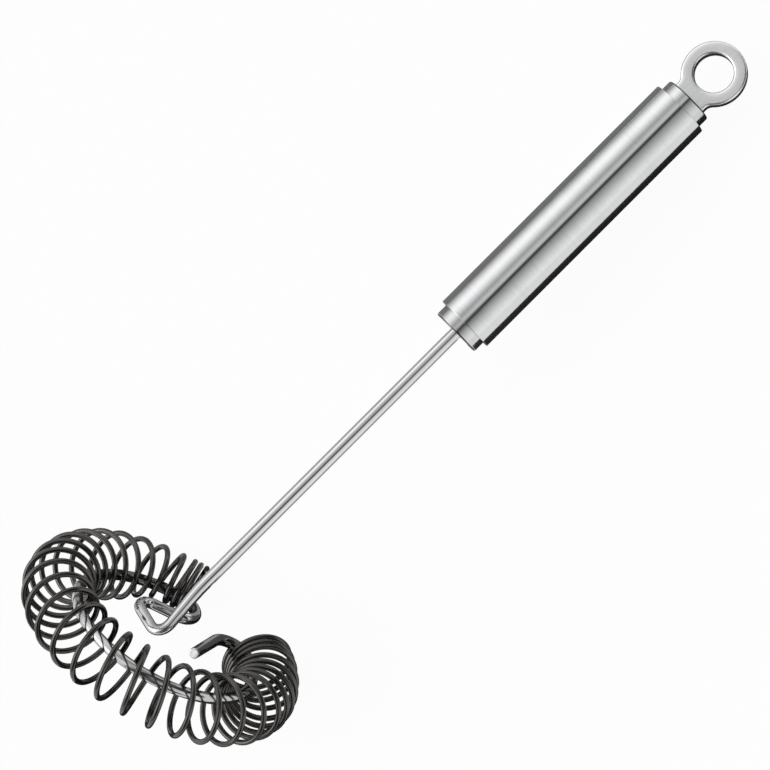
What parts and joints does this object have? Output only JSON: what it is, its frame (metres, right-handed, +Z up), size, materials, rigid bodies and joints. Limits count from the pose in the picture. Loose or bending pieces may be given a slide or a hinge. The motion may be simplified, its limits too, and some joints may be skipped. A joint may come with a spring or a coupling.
{
  "type": "spiral whisk",
  "caption": "Hand whisk with a tubular steel handle, a hanging eye, and a bent wire whose open hoop carries a long coil spring for whipping and stirring sauces.",
  "frame": {"origin": "on the table under the middle of the whisk's bounding box, as it lies on its coil and on its handle", "axes": "+X from the coil to the hanging eye, +Z up from the table, +Y across"},
  "size_m": [0.2694, 0.0912, 0.0808],
  "materials": {
    "handle": "fine brushed stainless steel, grain round the tube",
    "caps": "turned and satin polished stainless steel",
    "eye": "satin polished stainless steel",
    "wire": "polished stainless steel wire",
    "coil": "bright drawn spring wire that mirrors a dark room"
  },
  "bodies": {
    "handle": {"handle_tube": "handle", "lower_end_cap": "caps", "upper_end_cap": "caps", "hanging_eye": "eye", "whisk_wire": "wire"},
    "coil": {"whisk_coil": "coil"}
  },
  "joints": [
    {"name": "coil_shift", "type": "hinge", "parent": "handle", "child": "coil", "pos_m": [-0.11272, -0.00003, 0.03646], "axis": [0.9488, 0.0924, 0.302], "range_deg": [-2, 2]}
  ]
}
